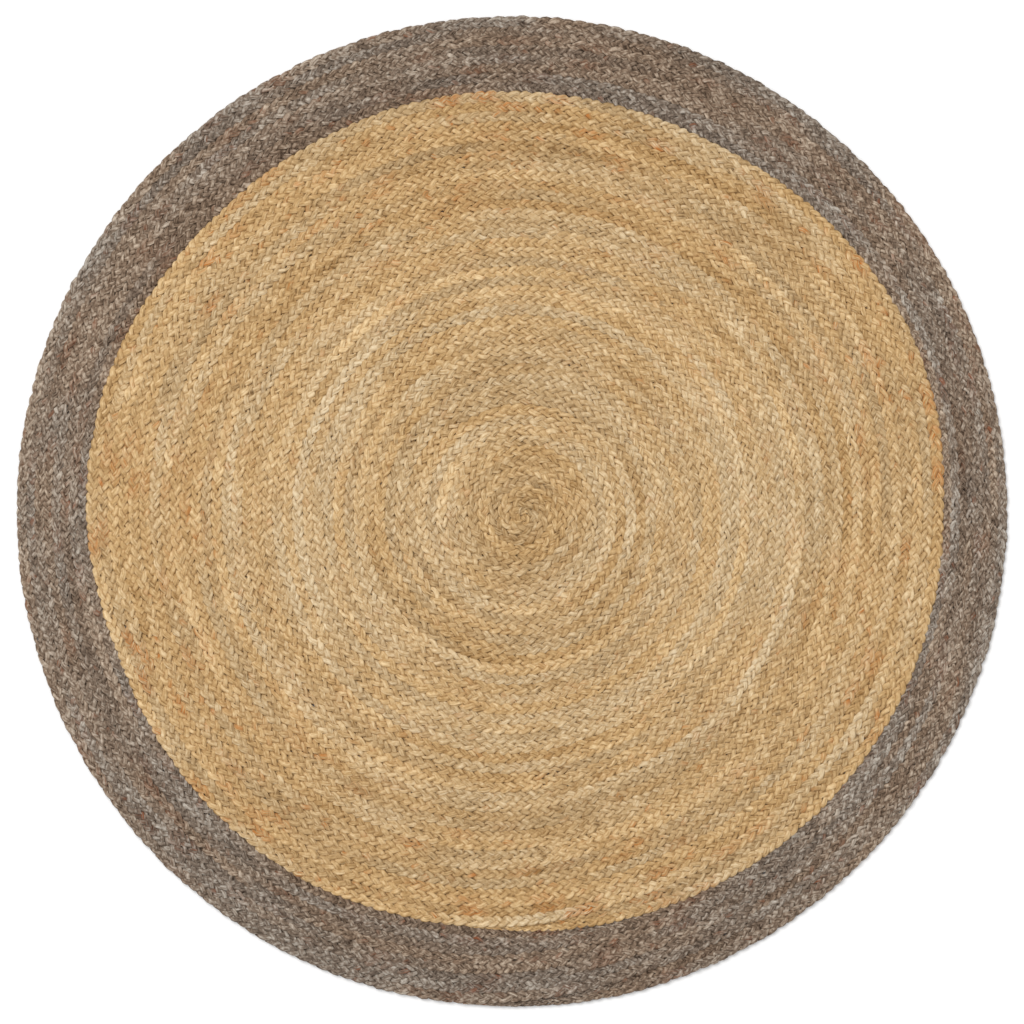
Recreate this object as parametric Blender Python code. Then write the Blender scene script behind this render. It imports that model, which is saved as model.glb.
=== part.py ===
# Round jute rug, 0.90 m across: a natural braid and a grey-dyed braid, each coiled
# flat and sewn edge to edge, the grey one round the natural one as a border.
# Metres, +Z up, origin under the middle of the rug. Angles run clockwise from +X
# as seen from above, because the braids are wound outward clockwise.

import math
from collections import namedtuple

import bmesh
import bpy

RUG_RADIUS = 0.450
THICKNESS = 0.008
GROOVE_DEPTH = 0.0018  # the sewn line between two rounds lies this far below the braid's top
SEAM_GAP = 0.0003      # between the natural braid and the grey one

CENTRE_ROUNDS = 21
BORDER_ROUNDS = 4
COIL_START = (0.011, -0.004)  # the natural braid starts a little off the rug's middle
WAVE_FADE = 4                 # power by which the border line's waves die out towards the start

JOIN_ANGLE = math.radians(101.25)  # where the natural braid and the grey one both end
JOIN_LENGTH = math.radians(36)     # over this arc an end tapers and the rounds step outward
FIRST_STEPPED_ROUND = 6            # rounds nearer the start than this grow evenly

# A braid's section: its flat top lies between these shares of its width, with the
# sewn line at share 0. A tapered end narrower than END_WIDTH rounds is left flat.
TOP_SHARES = (0.28, 0.72)
END_WIDTH = 0.15

# The line between natural and grey, a slightly wavy circle round the rug's middle.
Station = namedtuple("Station", "angle_deg radius")
BORDER_LINE = (
    Station(0, 0.3916),
    Station(20, 0.3917),
    Station(40, 0.3898),
    Station(60, 0.3865),
    Station(80, 0.3823),
    Station(100, 0.3788),
    Station(120, 0.3837),
    Station(140, 0.3827),
    Station(160, 0.3801),
    Station(180, 0.3857),
    Station(200, 0.3854),
    Station(220, 0.3799),
    Station(240, 0.3792),
    Station(260, 0.3815),
    Station(280, 0.3803),
    Station(300, 0.3815),
    Station(320, 0.3902),
    Station(340, 0.3965),
)
MEAN_LINE_RADIUS = sum(station.radius for station in BORDER_LINE) / len(BORDER_LINE)

# The rug's rounded rim, from the edge of its upper face down to its underside.
RimStep = namedtuple("RimStep", "inset height")
RIM = (
    RimStep(0.0012, THICKNESS - GROOVE_DEPTH),
    RimStep(0.0, THICKNESS / 2),
    RimStep(0.0012, GROOVE_DEPTH),
    RimStep(0.0035, 0.0),
)

# Straight steps in one round: few near the coil's start, more further out.
StepCount = namedtuple("StepCount", "first_round steps")
CENTRE_STEPS = (StepCount(0, 24), StepCount(4, 48), StepCount(10, 96))
BORDER_STEPS = (StepCount(0, 96),)

Braid = namedtuple("Braid", "rounds step_counts evenness place")

MERGE_DISTANCE = 0.00001
CREASE_ANGLE = math.radians(30)  # the sewn lines are sharper than this, the braid's top isn't

NATURAL_JUTE = (0.534, 0.359, 0.185)
GREY_JUTE = (0.231, 0.176, 0.133)
JUTE_ROUGHNESS = 0.9


def smooth(share):
    """Rises from 0 to 1 with share, level at both ends."""
    share = min(max(share, 0.0), 1.0)
    return share * share * (3 - 2 * share)


def border_line_radius(angle):
    """Radius of the line between natural and grey, on a smooth curve through its stations."""
    spacing = math.radians(BORDER_LINE[1].angle_deg - BORDER_LINE[0].angle_deg)
    index, share = divmod((angle % math.tau) / spacing, 1)
    before, start, end, after = (
        BORDER_LINE[(int(index) + offset) % len(BORDER_LINE)].radius for offset in (-1, 0, 1, 2)
    )
    bend = 2 * before - 5 * start + 4 * end - after
    twist = 3 * (start - end) + after - before
    return start + share / 2 * (end - before + share * (bend + share * twist))


def centre_place(rounds_out, angle):
    """Plan position in the natural braid's coil, at a number of rounds from its start."""
    share = rounds_out / CENTRE_ROUNDS
    wave = (border_line_radius(angle) - MEAN_LINE_RADIUS) * share**WAVE_FADE
    radius = MEAN_LINE_RADIUS * share + wave
    return (
        COIL_START[0] * (1 - share) + radius * math.cos(angle),
        COIL_START[1] * (1 - share) - radius * math.sin(angle),
    )


def border_place(rounds_out, angle):
    """Plan position in the grey braid's coil, at a number of rounds from its inner edge."""
    inner = border_line_radius(angle) + SEAM_GAP
    outer = RUG_RADIUS - RIM[0].inset
    radius = inner + (outer - inner) * rounds_out / BORDER_ROUNDS
    return radius * math.cos(angle), -radius * math.sin(angle)


def centre_evenness(round_number):
    """1 where a round grows evenly over its turn, 0 where it steps outward at the join."""
    last = CENTRE_ROUNDS - FIRST_STEPPED_ROUND
    return 1 - smooth((round_number - FIRST_STEPPED_ROUND) / last)


def border_evenness(round_number):
    """The grey rounds run level and all step outward at the join."""
    return 0.0


def sewn_line(braid, line, turn):
    """Rounds from the inner edge to a sewn line, at a share of the turn past the join."""
    at_join = smooth(1 - (1 - turn) * math.tau / JOIN_LENGTH)
    growth = at_join + (turn - at_join) * braid.evenness(line)
    return min(max(line - 1 + growth, 0.0), braid.rounds)


def rail(mesh, braid, line, top_share):
    """Points once round the coil, along a sewn line or along the top of the braid beside it."""
    steps = [count.steps for count in braid.step_counts if count.first_round <= line][-1]
    points = []
    for step in range(steps + 1):
        turn = step / steps
        inner = sewn_line(braid, line, turn)
        width = sewn_line(braid, line + 1, turn) - inner
        share = top_share if width > END_WIDTH else 0.0
        rise = GROOVE_DEPTH * smooth(width) if share else 0.0
        x, y = braid.place(inner + share * width, JOIN_ANGLE + turn * math.tau)
        points.append(mesh.verts.new((x, y, THICKNESS - GROOVE_DEPTH + rise)))
    return points


def level_ring(mesh, radius_at, height, steps):
    """Closed ring of points at one height, with a radius that may change with the angle."""
    points = []
    for step in range(steps + 1):
        angle = JOIN_ANGLE + step / steps * math.tau
        radius = radius_at(angle)
        points.append(mesh.verts.new((radius * math.cos(angle), -radius * math.sin(angle), height)))
    return points


def lay_strip(mesh, inner, outer):
    """Faces between two rails, the outer one with as many steps as the inner or twice as many."""
    if len(inner) == len(outer):
        for step in range(len(inner) - 1):
            mesh.faces.new((inner[step], outer[step], outer[step + 1], inner[step + 1]))
        return
    for step in range(len(inner) - 1):
        start, middle, end = outer[2 * step : 2 * step + 3]
        mesh.faces.new((inner[step], start, middle))
        mesh.faces.new((inner[step], middle, inner[step + 1]))
        mesh.faces.new((inner[step + 1], middle, end))


def lay_top(mesh, braid):
    """Ribbed upper face of a coiled braid; returns its innermost and outermost rails."""
    rails = [
        rail(mesh, braid, line, share)
        for line in range(braid.rounds + 1)
        for share in (0.0, *TOP_SHARES)
    ]
    rails.append(rail(mesh, braid, braid.rounds + 1, 0.0))
    for inner, outer in zip(rails, rails[1:]):
        lay_strip(mesh, inner, outer)
    return rails[0], rails[-1]


def finish_solid(mesh, name, material):
    """Joins the points that meet, as where one turn runs on into the next, and adds the object."""
    bmesh.ops.remove_doubles(mesh, verts=mesh.verts, dist=MERGE_DISTANCE)
    bmesh.ops.recalc_face_normals(mesh, faces=mesh.faces)
    data = bpy.data.meshes.new(name)
    mesh.to_mesh(data)
    mesh.free()
    data.shade_smooth()
    data.set_sharp_from_angle(angle=CREASE_ANGLE)
    data.materials.append(material)
    piece = bpy.data.objects.new(name, data)
    bpy.context.scene.collection.objects.link(piece)


def jute(name, colour):
    """Matt plant fibre of one colour."""
    material = bpy.data.materials.new(name)
    material.use_nodes = True
    shader = material.node_tree.nodes["Principled BSDF"]
    shader.inputs["Base Color"].default_value = (*colour, 1.0)
    shader.inputs["Roughness"].default_value = JUTE_ROUGHNESS
    shader.inputs["Metallic"].default_value = 0.0
    return material


def centre_coil():
    """The natural braid, coiled flat from its start to the grey border."""
    mesh = bmesh.new()
    braid = Braid(CENTRE_ROUNDS, CENTRE_STEPS, centre_evenness, centre_place)
    outer = lay_top(mesh, braid)[1]
    foot = level_ring(mesh, border_line_radius, 0.0, len(outer) - 1)
    lay_strip(mesh, outer, foot)
    mesh.faces.new(foot[:-1])
    finish_solid(mesh, "centre_coil", jute("natural_jute", NATURAL_JUTE))


def border_coil():
    """The grey braid, coiled round the natural one and rounded along the rug's rim."""
    mesh = bmesh.new()
    braid = Braid(BORDER_ROUNDS, BORDER_STEPS, border_evenness, border_place)
    inner, outer = lay_top(mesh, braid)
    steps = len(outer) - 1
    section = [outer]
    for rim_step in RIM[1:]:
        section.append(level_ring(mesh, lambda angle: RUG_RADIUS - rim_step.inset, rim_step.height, steps))
    section.append(level_ring(mesh, lambda angle: border_line_radius(angle) + SEAM_GAP, 0.0, steps))
    section.append(inner)
    for upper, lower in zip(section, section[1:]):
        lay_strip(mesh, upper, lower)
    finish_solid(mesh, "border_coil", jute("grey_jute", GREY_JUTE))


for leftover in list(bpy.data.objects):
    bpy.data.objects.remove(leftover, do_unlink=True)

centre_coil()
border_coil()
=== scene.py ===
import math
import time

import bpy
import numpy as np
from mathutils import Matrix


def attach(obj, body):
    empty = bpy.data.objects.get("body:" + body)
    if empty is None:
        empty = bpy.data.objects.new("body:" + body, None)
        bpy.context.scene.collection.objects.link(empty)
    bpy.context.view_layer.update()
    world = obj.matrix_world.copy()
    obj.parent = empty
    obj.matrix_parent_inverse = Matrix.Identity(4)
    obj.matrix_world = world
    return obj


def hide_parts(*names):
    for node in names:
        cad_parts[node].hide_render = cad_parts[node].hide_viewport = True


# Round jute rug seen from straight above. Its two coiled braids are plaited here strand by
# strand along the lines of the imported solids. Metres, +Z up, angles clockwise from +X.

startedAt = time.time()
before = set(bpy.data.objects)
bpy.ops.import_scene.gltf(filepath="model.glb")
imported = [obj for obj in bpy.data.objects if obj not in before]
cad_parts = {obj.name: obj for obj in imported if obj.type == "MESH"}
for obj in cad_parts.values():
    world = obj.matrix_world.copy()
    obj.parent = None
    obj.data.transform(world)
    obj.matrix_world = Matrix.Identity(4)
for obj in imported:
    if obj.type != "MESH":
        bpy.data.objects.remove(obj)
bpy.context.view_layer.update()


def report(text):
    print(f"[{time.time() - startedAt:5.1f} s] {text}")


report("frame loaded")

# The lines of the coil, as in the solids, with the last one drawn in for the strands' loops.
coil = {
    "rugRadius": 0.450,
    "outerInset": 0.0015,          # the last sewn line stands this far inside the rim
    "seamGap": 0.0003,
    "thickness": 0.008,
    "start": (0.011, -0.004),      # the natural braid starts a little off the middle
    "waveFade": 4,
    "joinAngle": 101.25,           # degrees, where both braids end
    "joinLength": 36,              # degrees over which an end tapers
    "stationStep": 20,             # degrees between the radii of the border line
    "borderLine": (0.3916, 0.3917, 0.3898, 0.3865, 0.3823, 0.3788, 0.3837, 0.3827, 0.3801,
                   0.3857, 0.3854, 0.3799, 0.3792, 0.3815, 0.3803, 0.3815, 0.3902, 0.3965),
}
borderLine = np.array(coil["borderLine"])
meanLine = borderLine.mean()
joinAngle = math.radians(coil["joinAngle"])


def smoothStep(share):
    # 3s^2 - 2s^3 between 0 and 1, level outside
    share = np.clip(share, 0.0, 1.0)
    return share * share * (3 - 2 * share)


def borderRadius(angle):
    # cubic through four neighbouring stations, once round the rug
    index, share = np.divmod((angle % math.tau) / math.radians(coil["stationStep"]), 1)
    index = index.astype(int)
    before, here, after, beyond = (borderLine[(index + k) % len(borderLine)] for k in (-1, 0, 1, 2))
    bend = 2 * before - 5 * here + 4 * after - beyond
    twist = 3 * (here - after) + beyond - before
    return here + share / 2 * (after - before + share * (bend + share * twist))


def naturalPlace(rounds, angle):
    # radius = mean line * share + wave of the border line * share^fade, centre drifting to the start
    share = rounds / naturalBraid["rounds"]
    radius = meanLine * share + (borderRadius(angle) - meanLine) * share ** coil["waveFade"]
    startX, startY = coil["start"]
    return (startX * (1 - share) + radius * np.cos(angle),
            startY * (1 - share) - radius * np.sin(angle))


def greyPlace(rounds, angle):
    # radius runs evenly from the border line to the rim
    inner = borderRadius(angle) + coil["seamGap"]
    outer = coil["rugRadius"] - coil["outerInset"]
    radius = inner + (outer - inner) * rounds / greyBraid["rounds"]
    return radius * np.cos(angle), -radius * np.sin(angle)


def sewnLine(braid, line, turn):
    # rounds from the coil's inner edge to sewn line number line, at a share of its turn
    atJoin = smoothStep(1 - (1 - turn) * math.tau / math.radians(coil["joinLength"]))
    evenness = 0.0
    if braid["stepsFrom"] is not None:
        evenness = 1 - smoothStep((line - braid["stepsFrom"]) / (braid["rounds"] - braid["stepsFrom"]))
    growth = atJoin + (turn - atJoin) * evenness
    return np.clip(line - 1 + growth, 0.0, braid["rounds"])


def edges(braid, turns):
    # the braid's two sewn lines, in rounds, at a number of turns since it started
    line = np.minimum(np.floor(turns), braid["rounds"])
    return sewnLine(braid, line, turns - line), sewnLine(braid, line + 1, turns - line)


def wander(position, step, seed):
    # random heights of spread 1 every step, joined by smooth rises
    index, share = np.divmod(position / step, 1)
    index = index.astype(int)
    heights = np.random.default_rng(seed).normal(size=index.max() + 2)
    return heights[index] + (heights[index + 1] - heights[index]) * smoothStep(share)


def uneven(values, kind, position, seed):
    # amount * wander, with the amount and step that a dictionary holds under a name
    amount, step = values[kind]
    return amount * wander(position, step, seed)


def sparks(position, step, chance, seed):
    # 0, but in a random few of the steps a hump of height 0.4 to 1
    index, share = np.divmod(position / step, 1)
    index = index.astype(int)
    draw = np.random.default_rng(seed)
    heights = draw.uniform(0.4, 1.0, index.max() + 1)
    heights[draw.random(len(heights)) > chance] = 0
    return heights[index] * np.sin(share * math.pi)


# Each braid is two narrow plaits side by side, the inner one finer and painted darker as shade, the outer
# one painted lighter. A batch of jute is (from this round, how much lighter, how much more golden).
naturalBraid = {
    "name": "naturalBraid", "node": "centre_coil", "slot": "natural_jute",
    "rounds": 21,
    "stepsFrom": 6,                # further out the rounds step outward at the join, with None all do
    "place": naturalPlace,
    "from": 0.25, "to": 21.985,    # turns; the ends are too thin past these
    "pieces": 4,                   # the braid is cut into these along its length
    "stitches": (0.0090, 0.0101),  # distance between two edge loops, inner plait and outer
    "lighter": (-0.4, 0.4),        # painted shade of the inner plait and the outer: the inner darker, the outer lighter
    "armShade": 1.1,               # how much the shade changes from arm to arm of a strand
    "paintedUnderShade": 0.0,             # painted shade: how much darker a strand is painted where it passes under
    "batches": ((0, 0.2, 0.2), (2, -2.0, 0.2), (3.2, -1.2, 0.0), (4.4, 0.9, -0.6),
                (5.2, 1.0, 0.0), (6, -0.1, 0.8), (7, 0.5, 0.3), (8.2, -1.0, 0.3),
                (9.8, 1.5, -0.3), (12, 0.7, -0.3), (14.2, 0.4, -0.3), (16, -1.2, 0.5),
                (17.3, 0.4, 0.5), (18.4, -1.2, 0.4), (20.3, -0.3, 0.2)),
    "flecks": (0.05, 0.03),        # chances of a rust fleck and a dark one, per stitch
    "rustStrength": (0.4, 1.5),    # at the coil's start and at its outer edge
    "darkStrength": 1.25,
    "seed": 1000,
}
greyBraid = {
    "name": "greyBraid", "node": "border_coil", "slot": "grey_jute",
    "rounds": 4,
    "stepsFrom": None,
    "place": greyPlace,
    "from": 0.92, "to": 4.985,
    "pieces": 2,
    "stitches": (0.0073, 0.0104),
    # painted shade of the inner plait and the outer: the inner darker, the outer lighter
    "lighter": (-0.5, 0.5),
    "armShade": 1.45,
    # painted shade where a strand passes under
    "paintedUnderShade": 2.5,
    "batches": ((0, -0.3, 0.3), (0.8, 0.2, 0.0), (1.5, -0.4, -0.3), (2.0, 0.4, 0.1),
                (2.6, -0.4, 0.2), (3.3, 0.2, -0.3)),
    "flecks": (0.05, 0.03),
    "rustStrength": (1.0, 1.0),
    "darkStrength": 1.0,
    "seed": 5000,
}

# A flat plait of three strands. Sizes are for a plait of fullWidth and shrink with it.
plait = {
    "strands": 3,
    "fullWidth": 0.00915,
    "width": 0.0054, "height": 0.0036,          # lying flat
    "underWidth": 1.25,            # a strand spreads by this where it passes under
    "loopWidth": 0.0049, "loopHeight": 0.0050,  # turning over at the plait's edge
    "loopPower": 6,                # higher makes the loops' part of a strand shorter
    "overlap": 0.0015,             # a loop reaches this far past the plait's edge
    "straightness": 0.85,          # 0 gives a path like a sine, 1 like a zigzag
    "lift": 0.0017,                # the top of the path lies this far above the middle
    "liftSharpness": 1.2,
    "lean": 0.0003,                # the braid's outer edge stands this much higher
    "proud": 0.0003,               # no strand stands higher than this above the solids
    "ringDegrees": (0, 30, 60, 90, 135),        # rings in half a period, the first three on top
    "sectionDegrees": (0, 48, 90, 132, 180, 270),
    "flatness": 0.82,              # under 1 makes the section squarer
    "unevenness": 0.06,
    "twistLength": 0.30,           # the fibres go once round the strand in this length
    "patternGap": 40.0,            # from one strand's fibre pattern to the next one's
    # where a braid tapers out, as shares of the full sizes
    "widthRange": (0.15, 1.2), "widthPower": 0.8,
    "leastHeight": 0.45,
    "overlapGrowth": 2.5,          # a plait has its full overlap from 1 / 2.5 of its full width on
    "leastReach": 0.0002,
    "leastShare": 0.12, "leastStitch": 0.6,
    # (amount, length over which it changes)
    "stitchDrift": (0.08, 0.04), "stitchJitter": (0.10, 0.013),
    "widthJitter": (0.16, 0.007), "jitterRange": (0.7, 1.35),
    "heightJitter": (0.10, 0.009),
    "stray": (0.16, 0.008),
    "bob": (0.0003, 0.008),
    "roll": (0.5, 0.04),
    "stepsPerRound": 900,          # in the table of turns, length and phase
}

# How the colour drifts: (amount in steps of shade or warmth, length over which it changes).
drift = {
    "spiral": (0.4, 0.5),          # a batch starts this many rounds earlier or later
    "braidShade": (0.4, 0.6), "plaitShade": (0.5, 0.25), "patchShade": (0.7, 0.06),
    "strandShade": (0.3, 0.12),
    "braidWarmth": (0.5, 0.5), "plaitWarmth": (0.8, 0.15), "patchWarmth": (0.6, 0.05),
    "paleSides": 0.6,              # the rug's left and right are lighter than its top and bottom
    "paintedUnderWarmth": 1.2,            # painted shade: how much warmer a strand is painted where it passes under, as shaded gaps look
    "armStep": math.pi / 2,        # in the strand's phase: one shade on top, one below
    "armStart": math.pi * 3.25,
    "rustGrowth": 3,               # power by which rust grows stronger towards the coil's edge
    "stretchLength": 0.035,        # a rusty stretch of a whole plait
    "stretchChance": 3,            # times the chance of a rust fleck
    "stretchStrength": 0.5,
}


def laneEdges(braid, turns, lane):
    # the two edges of the inner (0) or outer (1) plait, in rounds
    inner, outer = edges(braid, turns)
    half = (outer - inner) / 2
    return inner + lane * half, inner + (lane + 1) * half


def laneTable(braid, lane):
    # turns, length along the middle and plait phase (2 pi a period of 3 stitches), finely stepped
    turns = np.linspace(braid["from"], braid["to"], plait["stepsPerRound"] * braid["rounds"])
    inner, outer = laneEdges(braid, turns, lane)
    angle = joinAngle + turns * math.tau
    x, y = braid["place"]((inner + outer) / 2, angle)
    step = np.hypot(np.diff(x), np.diff(y))
    length = np.concatenate([[0], np.cumsum(step)])
    share = np.clip(2 * (outer - inner), plait["leastShare"], 1)
    stitch = braid["stitches"][lane] * (plait["leastStitch"] + (1 - plait["leastStitch"]) * share)
    stitch = stitch * (1 + uneven(plait, "stitchDrift", length, braid["seed"] + lane)
                       + uneven(plait, "stitchJitter", length, braid["seed"] + 2 + lane))
    rate = math.tau / plait["strands"] / stitch
    phase = np.concatenate([[0], np.cumsum(step * (rate[1:] + rate[:-1]) / 2)])
    return turns, length, phase


def ringPhases(fromPhase, toPhase):
    # own phase of every ring of a strand
    half = np.radians(plait["ringDegrees"])
    period = np.concatenate([half, half + math.pi])
    first, last = math.floor(fromPhase / math.tau), math.ceil(toPhase / math.tau)
    phases = (np.arange(first, last + 1)[:, None] * math.tau + period).ravel()
    return phases[(phases >= fromPhase) & (phases <= toPhase)]


def passingUnder(own):
    # -sin 2p where it is above 0: 1 where a strand is lowest, 0 where it lies on top
    return np.clip(-np.sin(2 * own), 0, 1)


def strandPath(braid, table, lane, number, seed):
    # centre line: across = reach * asin(k sin p) / asin(k), up = lift * tanh(s sin 2p) / tanh(s),
    # with p the strand's own phase, k the straightness and s the lift's sharpness
    turnsAt, lengthAt, phaseAt = table
    offset = number * math.tau / plait["strands"]
    own = ringPhases(offset, phaseAt[-1] + offset)
    turns = np.interp(own - offset, phaseAt, turnsAt)
    length = np.interp(own - offset, phaseAt, lengthAt)
    inner, outer = laneEdges(braid, turns, lane)
    angle = joinAngle + turns * math.tau
    xIn, yIn = braid["place"](inner, angle)
    xOut, yOut = braid["place"](outer, angle)
    laneWidth = np.hypot(xOut - xIn, yOut - yIn)
    size = laneWidth / plait["fullWidth"]
    broad = np.clip(size, *plait["widthRange"]) ** plait["widthPower"]
    thin = np.clip(size, plait["leastHeight"], 1)

    k = plait["straightness"]
    swing = np.arcsin(k * np.sin(own)) / math.asin(k)
    overlap = plait["overlap"] * np.clip(plait["overlapGrowth"] * size, 0, 1)
    reach = np.maximum(laneWidth / 2 + overlap - plait["loopWidth"] * broad / 2, plait["leastReach"])
    loose = np.cos(own) ** 2       # an arm may stray, a loop keeps to the plait's edge
    across = reach * (swing + loose * uneven(plait, "stray", length, seed + 3))
    sharp = plait["liftSharpness"]
    up = plait["lift"] * np.tanh(sharp * np.sin(2 * own)) / math.tanh(sharp) * thin
    up = up + plait["lean"] * (2 * lane - 1 + across / laneWidth)
    up = up + uneven(plait, "bob", length, seed + 4)
    rounds = inner + (0.5 + across / laneWidth) * (outer - inner)
    x, y = braid["place"](rounds, angle)
    return {"own": own, "phase": own - offset, "length": length, "rounds": rounds, "angle": angle,
            "centre": np.stack([x, y, coil["thickness"] / 2 + up], 1), "broad": broad, "thin": thin}


def strandSize(path, seed):
    # width and height run from the arm's to the loop's with |sin p|^power, wider under the others
    own, length = path["own"], path["length"]
    loop = np.abs(np.sin(own)) ** plait["loopPower"]
    wide = plait["width"] + (plait["loopWidth"] - plait["width"]) * loop
    tall = plait["height"] + (plait["loopHeight"] - plait["height"]) * loop
    wide = wide * (1 + (plait["underWidth"] - 1) * passingUnder(own))
    jitter = np.clip(1 + uneven(plait, "widthJitter", length, seed + 1), *plait["jitterRange"])
    wide = wide * path["broad"] * jitter
    tall = tall * path["thin"] * (1 + uneven(plait, "heightJitter", length, seed + 2))
    return wide, tall


def layStrand(braid, table, lane, number):
    # rings across the centre line: side = w/2 cos^f t, up = h/2 sin^f t, each keeping its sign,
    # with f the flatness; the lay is the same section turned with the fibres' twist
    seed = braid["seed"] + 300 * lane + 100 * number
    path = strandPath(braid, table, lane, number, seed)
    wide, tall = strandSize(path, seed)
    centre = path["centre"]
    along = np.gradient(centre, axis=0)
    along /= np.linalg.norm(along, axis=1)[:, None]
    side = np.cross(along, (0, 0, 1.0))
    side /= np.linalg.norm(side, axis=1)[:, None]
    normal = np.cross(side, along)

    turn = np.radians(plait["sectionDegrees"])
    outSide = np.sign(np.cos(turn)) * np.abs(np.cos(turn)) ** plait["flatness"] / 2
    outUp = np.sign(np.sin(turn)) * np.abs(np.sin(turn)) ** plait["flatness"] / 2
    rough = np.random.default_rng(seed + 5).normal(size=(len(centre), len(turn)))
    rough = 1 + plait["unevenness"] * (rough + np.roll(rough, 1, 0)) / math.sqrt(2)
    sideways = outSide * wide[:, None] * rough
    upwards = outUp * tall[:, None] * rough
    points = centre[:, None] + side[:, None] * sideways[:, :, None]
    points += normal[:, None] * upwards[:, :, None]
    points[:, :, 2] = np.clip(points[:, :, 2], 0.0, coil["thickness"] + plait["proud"])

    run = np.concatenate([[0], np.cumsum(np.linalg.norm(np.diff(centre, axis=0), axis=1))])
    roll = uneven(plait, "roll", run, seed + 6) + run * math.tau / plait["twistLength"]
    roll = roll[:, None]
    pattern = (run + number * plait["patternGap"])[:, None]
    lay = np.stack([np.broadcast_to(pattern, sideways.shape),
                    sideways * np.cos(roll) - upwards * np.sin(roll),
                    sideways * np.sin(roll) + upwards * np.cos(roll)], 2)
    return {"phase": path["phase"], "centre": centre, "points": points, "run": run, "lay": lay,
            "tint": strandTint(braid, lane, path, seed)}


def strandTint(braid, lane, path, seed):
    # shade, warmth and fleck of each ring: batches of jute, slow drifts along the braid, the plait
    # and the strand, a step from arm to arm, paler sides of the rug, painted shade that makes a
    # strand darker and warmer where it passes under, rare flecks and rusty stretches of a whole plait
    own, length, rounds = path["own"], path["length"], path["rounds"]
    common = braid["seed"] + 900
    # painted shade: a strand is painted darker and warmer where it passes under the others
    under = passingUnder(own)
    fromRound, lighter, golden = np.array(braid["batches"]).T
    spiral = rounds + uneven(drift, "spiral", length, common + 1)
    # the plait's lighter value is painted shade: the inner plait darker, the outer lighter
    shade = (np.interp(spiral, fromRound, lighter) + braid["lighter"][lane]
             + drift["paleSides"] * np.cos(2 * path["angle"])
             + uneven(drift, "braidShade", length, common + 2)
             + uneven(drift, "plaitShade", length, common + 3 + lane)
             + uneven(drift, "patchShade", length, common + 5 + lane)
             + uneven(drift, "strandShade", length, seed + 20)
             + braid["armShade"] * wander(own + drift["armStart"], drift["armStep"], seed + 22)
             - braid["paintedUnderShade"] * under)
    warmth = (np.interp(spiral, fromRound, golden)
              + uneven(drift, "braidWarmth", length, common + 7)
              + uneven(drift, "plaitWarmth", length, common + 8 + lane)
              + uneven(drift, "patchWarmth", length, common + 10 + lane)
              + drift["paintedUnderWarmth"] * under)

    rust, dark = braid["flecks"]
    stitch = braid["stitches"][lane]
    atStart, atEdge = braid["rustStrength"]
    strength = atStart + (atEdge - atStart) * (rounds / braid["rounds"]) ** drift["rustGrowth"]
    stretches = sparks(length, drift["stretchLength"], drift["stretchChance"] * rust, common + 12 + lane)
    fleck = (strength * sparks(length, stitch, rust, seed + 26)
             + drift["stretchStrength"] * strength ** 2 * stretches
             - braid["darkStrength"] * sparks(length, stitch / 2, dark, seed + 27))
    return np.stack([shade, warmth, fleck], 1)


# The strands side by side in rows of the unit square, a map for baked textures.
bakeMap = {
    "perimeter": 0.0137,           # round a strand's section
    "sideMargin": 0.06,            # share of a row that stays free at both sides
    "endMargin": 0.012,            # metres that stay free between two rows' ends
    "capLength": 0.003,            # metres that the fan closing an end takes up
}


def bakeRows(strands):
    # how many rows of equal length hold every strand, and that length
    total = sum(s["run"][-1] - s["run"][0] for s in strands)
    rows = math.ceil(math.sqrt(total / bakeMap["perimeter"])) + len(strands)
    return rows, total / (rows - len(strands))


def layOut(strands):
    # u = run along the row / row length, v = (row + share round the section) / rows
    sides = len(plait["sectionDegrees"])
    rows, rowLength = bakeRows(strands)
    fullRow = rowLength + bakeMap["endMargin"]
    cap = bakeMap["capLength"] / fullRow
    v = np.arange(sides + 1) / sides * (1 - 2 * bakeMap["sideMargin"]) + bakeMap["sideMargin"]
    quadMaps, fanMaps = [], []
    rowBase = 0
    for s in strands:
        run = s["run"] - s["run"][0]
        row = np.minimum(np.floor(run[:-1] / rowLength), math.ceil(run[-1] / rowLength) - 1)
        rowStart = row * rowLength - bakeMap["endMargin"] / 2
        low = (rowBase + row[:, None] + v[None, :-1]) / rows
        high = (rowBase + row[:, None] + v[None, 1:]) / rows
        u0, u1 = (np.broadcast_to(((ends - rowStart) / fullRow)[:, None], low.shape)
                  for ends in (run[:-1], run[1:]))
        quadMaps.append(np.stack([u0, low, u0, high, u1, high, u1, low], 2).reshape(-1, 8))
        for end, step, first, second in ((u0[0], -cap, high[0], low[0]),
                                         (u1[-1], cap, low[-1], high[-1])):
            fanMaps.append(np.stack([end, first, end, second, end + step, (first + second) / 2], 1))
        rowBase += int(row[-1]) + 1
    return np.concatenate([np.concatenate(quadMaps).ravel(), np.concatenate(fanMaps).ravel()])


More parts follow.
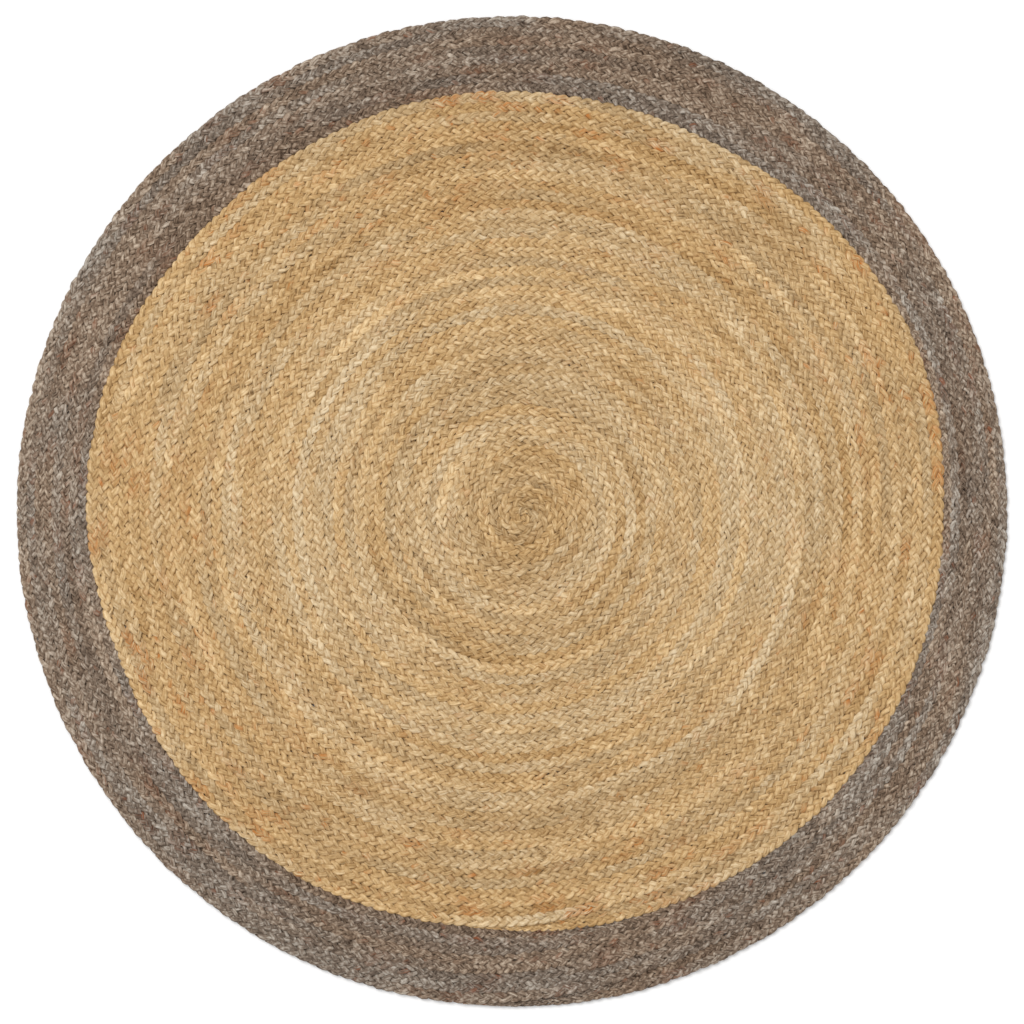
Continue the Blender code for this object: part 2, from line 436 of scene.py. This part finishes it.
def meshPiece(name, vertices, quads, fans, flatMap, attributes):
    # one object at the origin, its quads first and then its triangles
    mesh = bpy.data.meshes.new(name)
    mesh.vertices.add(len(vertices))
    mesh.vertices.foreach_set("co", vertices.astype(np.float32).ravel())
    corners = np.concatenate([quads.ravel(), fans.ravel()])
    mesh.loops.add(len(corners))
    mesh.loops.foreach_set("vertex_index", corners.astype(np.int32))
    starts = np.concatenate([np.arange(len(quads)) * 4, quads.size + np.arange(len(fans)) * 3])
    mesh.polygons.add(len(starts))
    mesh.polygons.foreach_set("loop_start", starts.astype(np.int32))
    mesh.update(calc_edges=True)
    mesh.validate()
    mesh.shade_smooth()
    mesh.uv_layers.new(name="OFBake").data.foreach_set("uv", flatMap.astype(np.float32))
    for label, values in attributes.items():
        attribute = mesh.attributes.new(label, "FLOAT_VECTOR", "POINT")
        attribute.data.foreach_set("vector", values.astype(np.float32).ravel())
    piece = bpy.data.objects.new(name, mesh)
    bpy.context.scene.collection.objects.link(piece)
    return piece


def plaitPiece(name, strands):
    # closed tubes of quads between neighbouring rings, with a fan of triangles at both ends
    sides = len(plait["sectionDegrees"])
    vertices, lays, tints, quads, fans = [], [], [], [], []
    base = 0
    for s in strands:
        rings = len(s["run"])
        grid = base + np.arange(rings * sides).reshape(rings, sides)
        turned = np.roll(grid, -1, 1)
        apex = base + rings * sides
        quads.append(np.stack([grid[:-1], turned[:-1], turned[1:], grid[1:]], 2).reshape(-1, 4))
        fans.append(np.stack([turned[0], grid[0], np.full(sides, apex)], 1))
        fans.append(np.stack([grid[-1], turned[-1], np.full(sides, apex + 1)], 1))
        vertices += [s["points"].reshape(-1, 3), s["centre"][[0, -1]]]
        lays += [s["lay"].reshape(-1, 3), s["lay"][[0, -1]].mean(1)]
        tints += [np.repeat(s["tint"], sides, 0), s["tint"][[0, -1]]]
        base = apex + 2
    return meshPiece(name, np.concatenate(vertices), np.concatenate(quads), np.concatenate(fans),
                     layOut(strands),
                     {"fibreLay": np.concatenate(lays), "fibreTint": np.concatenate(tints)})


def cutStrand(s, fromPhase, toPhase):
    # the rings between two phases of the braid, and the one that both cuts share
    first = max(np.searchsorted(s["phase"], fromPhase) - 1, 0)
    last = min(np.searchsorted(s["phase"], toPhase), len(s["phase"]))
    return {key: values[first:last] for key, values in s.items()}


def plaitBraid(braid):
    # every strand of both plaits, with the phases where it is cut into pieces of equal length
    strands, cuts = [], []
    for lane in (0, 1):
        table = laneTable(braid, lane)
        turnsAt, lengthAt, phaseAt = table
        if lane == 0:
            cutTurns = np.interp(np.linspace(0, lengthAt[-1], braid["pieces"] + 1), lengthAt, turnsAt)
        laneCuts = np.interp(cutTurns, turnsAt, phaseAt)
        laneCuts[0], laneCuts[-1] = -1, phaseAt[-1] + 1
        for number in range(plait["strands"]):
            strands.append(layStrand(braid, table, lane, number))
            cuts.append(laneCuts)
    return strands, cuts


def makeBraid(braid, material):
    # cut every strand into pieces of equal length, each a mesh with the braid's material, and hide the
    # solid
    strands, cuts = plaitBraid(braid)
    triangles = 0
    for k in range(braid["pieces"]):
        parts = [cutStrand(s, cut[k], cut[k + 1]) for s, cut in zip(strands, cuts)]
        piece = plaitPiece(f"{braid['name']}{k + 1}", parts)
        piece.data.materials.append(material)
        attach(piece, "root")
        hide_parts(braid["node"])
        strandLength = float(np.mean([s["run"][-1] - s["run"][0] for s in parts]))
        count = sum(len(p.vertices) - 2 for p in piece.data.polygons)
        triangles += count
        report(f"{piece.name}: {count} triangles, {strandLength:.2f} m of each strand")
    heights = np.concatenate([s["points"][:, :, 2].ravel() for s in strands])
    report(f"{braid['name']}: {triangles} triangles, "
           f"z {heights.min() * 1000:.2f} to {heights.max() * 1000:.2f} mm")


# Colours from the darkest fibre to the lightest. A streak is how far its pattern moves the tone; the yarn
# shade is painted shade in the valleys between the yarns.
naturalLook = {
    "name": "naturalJute",
    "dark": (0.27, 0.142, 0.046), "middle": (0.520, 0.337, 0.155), "light": (0.77, 0.575, 0.330),
    "coolTint": (0.95, 1.025, 1.18),  # how the coolest batches differ from the warmest
    "rust": (0.44, 0.15, 0.03), "speck": (0.15, 0.08, 0.03),
    "shadeStep": 0.062,               # tone for one step of shade
    "roughness": (0.72, 0.95),
    "fineStreak": 0.45, "bundleStreak": 0.60, "patchStreak": 0.95, "yarnGapPaintedShade": 0.12,
    "yarnWidth": 0.0018, "yarnHeight": 0.00022, "bundleHeight": 0.0005, "fineHeight": 0.0002,
}
greyLook = {
    "name": "greyJute",
    "dark": (0.04, 0.023, 0.014), "middle": (0.217, 0.149, 0.101), "light": (0.52, 0.42, 0.320),
    "coolTint": (0.92, 1.025, 1.15),
    "rust": (0.21, 0.07, 0.03), "speck": (0.045, 0.03, 0.02),
    "shadeStep": 0.046,
    "roughness": (0.72, 0.95),
    "fineStreak": 0.25, "bundleStreak": 0.50, "patchStreak": 1.3, "yarnGapPaintedShade": 0.15,
    "yarnWidth": 0.0018, "yarnHeight": 0.00022, "bundleHeight": 0.0006, "fineHeight": 0.0002,
}

# Patterns of both kinds of jute: (waves a metre along the fibres and across them, detail).
fibres = {
    "fine": ((170, 2100, 2100), 2.0),      # single fibres, 0.5 mm across
    "bundle": ((70, 800, 800), 1.0),       # bundles of them, 1.2 mm across
    "patch": ((320, 420, 420), 1.0),       # paler and darker spots of a strand, 2.5 mm across
    "thread": ((45, 1000, 1000), 1.0),     # the few fibres that a fleck colours
    "threadContrast": 6.0, "threadLevel": 0.45,
    "rustShare": 0.8, "speckShare": 0.9,   # how far a fleck of strength 1 changes the colour
    "specular": 0.08,
}


def addNode(tree, kind, inputs, **settings):
    # a shader node whose inputs are numbers, colours or other nodes' outputs
    node = tree.nodes.new(kind)
    for key, value in settings.items():
        setattr(node, key, value)
    for socket, value in inputs.items():
        if isinstance(value, bpy.types.NodeSocket):
            tree.links.new(value, node.inputs[socket])
        else:
            node.inputs[socket].default_value = value
    return node


def juteMaterial(look):
    # colour and relief follow the fibres by the strand's own lay, never the camera
    material = bpy.data.materials.new(look["name"])
    material.use_nodes = True
    tree = material.node_tree
    shader = tree.nodes["Principled BSDF"]

    def calc(operation, first, second=0.0, clamp=False):
        return addNode(tree, "ShaderNodeMath", {0: first, 1: second},
                       operation=operation, use_clamp=clamp).outputs[0]

    def times(first, second, clamp=False):
        return calc("MULTIPLY", first, second, clamp)

    def centred(value, strength):
        return times(calc("SUBTRACT", value, 0.5), strength)

    def noise(scale, detail):
        stretched = addNode(tree, "ShaderNodeMapping", {"Vector": lay, "Scale": scale})
        return addNode(tree, "ShaderNodeTexNoise", {"Vector": stretched.outputs[0], "Scale": 1.0,
                                                    "Detail": detail}).outputs["Fac"]

    def blend(share, first, second, kind="MIX"):
        node = addNode(tree, "ShaderNodeMix", {0: share, 6: first, 7: (*second, 1)},
                       data_type="RGBA", blend_type=kind)
        return node.outputs[2]

    lay = addNode(tree, "ShaderNodeAttribute", {}, attribute_name="fibreLay").outputs["Vector"]
    tint = addNode(tree, "ShaderNodeAttribute", {}, attribute_name="fibreTint").outputs["Vector"]
    shade, warmth, fleck = addNode(tree, "ShaderNodeSeparateXYZ", {0: tint}).outputs
    beside = addNode(tree, "ShaderNodeSeparateXYZ", {0: lay}).outputs["Y"]
    fine, bundle, patch, thread = (noise(*fibres[kind]) for kind in ("fine", "bundle", "patch", "thread"))
    yarns = calc("ABSOLUTE", calc("COSINE", times(beside, math.pi / look["yarnWidth"])))

    streaks = calc("ADD", centred(fine, look["fineStreak"]), centred(bundle, look["bundleStreak"]))
    streaks = calc("ADD", streaks, centred(patch, look["patchStreak"]))
    # painted shade: the tone darkens in the valleys between the yarns, where they shade each other
    streaks = calc("ADD", streaks, centred(yarns, look["yarnGapPaintedShade"]))
    tone = calc("ADD", times(shade, look["shadeStep"]), 0.5)
    tone = calc("ADD", tone, streaks, clamp=True)
    ramp = addNode(tree, "ShaderNodeValToRGB", {"Fac": tone})
    ramp.color_ramp.elements[0].color = (*look["dark"], 1)
    ramp.color_ramp.elements[1].color = (*look["light"], 1)
    ramp.color_ramp.elements.new(0.5).color = (*look["middle"], 1)
    coolness = calc("SUBTRACT", 0.5, times(warmth, 0.5), clamp=True)
    colour = blend(coolness, ramp.outputs["Color"], look["coolTint"], "MULTIPLY")
    mask = calc("ADD", centred(thread, fibres["threadContrast"]), fibres["threadLevel"], clamp=True)
    rusty = times(times(fleck, fibres["rustShare"]), mask, clamp=True)
    colour = blend(rusty, colour, look["rust"])
    specked = times(times(fleck, -fibres["speckShare"]), mask, clamp=True)
    colour = blend(specked, colour, look["speck"])
    tree.links.new(colour, shader.inputs["Base Color"])

    smoothest, roughest = look["roughness"]
    rough = addNode(tree, "ShaderNodeMapRange",
                    {"Value": bundle, "To Min": smoothest, "To Max": roughest})
    tree.links.new(rough.outputs[0], shader.inputs["Roughness"])
    height = calc("ADD", times(fine, look["fineHeight"]), times(bundle, look["bundleHeight"]))
    height = calc("ADD", height, times(yarns, look["yarnHeight"]))
    bump = addNode(tree, "ShaderNodeBump", {"Height": height, "Distance": 1.0})  # heights are in metres
    tree.links.new(bump.outputs[0], shader.inputs["Normal"])
    shader.inputs["Specular IOR Level"].default_value = fibres["specular"]
    return material


makeBraid(naturalBraid, juteMaterial(naturalLook))
makeBraid(greyBraid, juteMaterial(greyLook))

studio = {
    "floorSize": 6.0, "floorHeight": -0.0001,
    "floorColour": (0.93, 0.93, 0.93), "floorRoughness": 0.9, "floorSpecular": 0.1,
    "ambient": 0.75,
    "keySize": 3.0, "keyPower": 170, "keyPlace": (-1.3, 1.6, 5.0),
    "cameraHeight": 4.0,
    # the rug's radius and middle in the photo, whose frame the camera takes
    "rugPixels": 495.7, "rugPixelX": 511.85, "rugPixelY": 511.49, "imagePixels": 1024,
    "sensor": 36.0,
}


def makeFloor():
    # a plain pale square, just under the rug
    half, height = studio["floorSize"] / 2, studio["floorHeight"]
    mesh = bpy.data.meshes.new("floor")
    corners = [(-half, -half, height), (half, -half, height), (half, half, height), (-half, half, height)]
    mesh.from_pydata(corners, [], [(0, 1, 2, 3)])
    floor = bpy.data.objects.new("floor", mesh)
    bpy.context.scene.collection.objects.link(floor)
    material = bpy.data.materials.new("paleFloor")
    material.use_nodes = True
    shader = material.node_tree.nodes["Principled BSDF"]
    shader.inputs["Base Color"].default_value = (*studio["floorColour"], 1)
    shader.inputs["Roughness"].default_value = studio["floorRoughness"]
    shader.inputs["Specular IOR Level"].default_value = studio["floorSpecular"]
    mesh.materials.append(material)


def makeLight():
    # even white light from all round, and a soft lamp turned to the rug's middle
    world = bpy.data.worlds.new("softRoom")
    world.use_nodes = True
    background = world.node_tree.nodes["Background"]
    background.inputs["Color"].default_value = (1, 1, 1, 1)
    background.inputs["Strength"].default_value = studio["ambient"]
    bpy.context.scene.world = world

    key = bpy.data.lights.new("softKey", "AREA")
    key.shape = "DISK"
    key.size = studio["keySize"]
    key.energy = studio["keyPower"]
    lamp = bpy.data.objects.new("softKey", key)
    x, y, z = studio["keyPlace"]
    lamp.location = (x, y, z)
    lamp.rotation_euler = (math.atan2(math.hypot(x, y), z), 0, math.atan2(x, -y))
    bpy.context.scene.collection.objects.link(lamp)


def makeCamera():
    # straight down; metres a pixel = rug's radius / its pixels, lens = sensor * height / view
    pixel = coil["rugRadius"] / studio["rugPixels"]
    middle = studio["imagePixels"] / 2
    lens = bpy.data.cameras.new("straightAbove")
    lens.sensor_width = studio["sensor"]
    lens.lens = studio["sensor"] * studio["cameraHeight"] / (pixel * studio["imagePixels"])
    camera = bpy.data.objects.new("straightAbove", lens)
    camera.location = ((middle - studio["rugPixelX"]) * pixel, (studio["rugPixelY"] - middle) * pixel,
                       studio["cameraHeight"] + coil["thickness"] / 2)
    bpy.context.scene.collection.objects.link(camera)
    bpy.context.scene.camera = camera
    bpy.context.scene.view_settings.view_transform = "Standard"


makeFloor()
makeLight()
makeCamera()
report("studio ready")
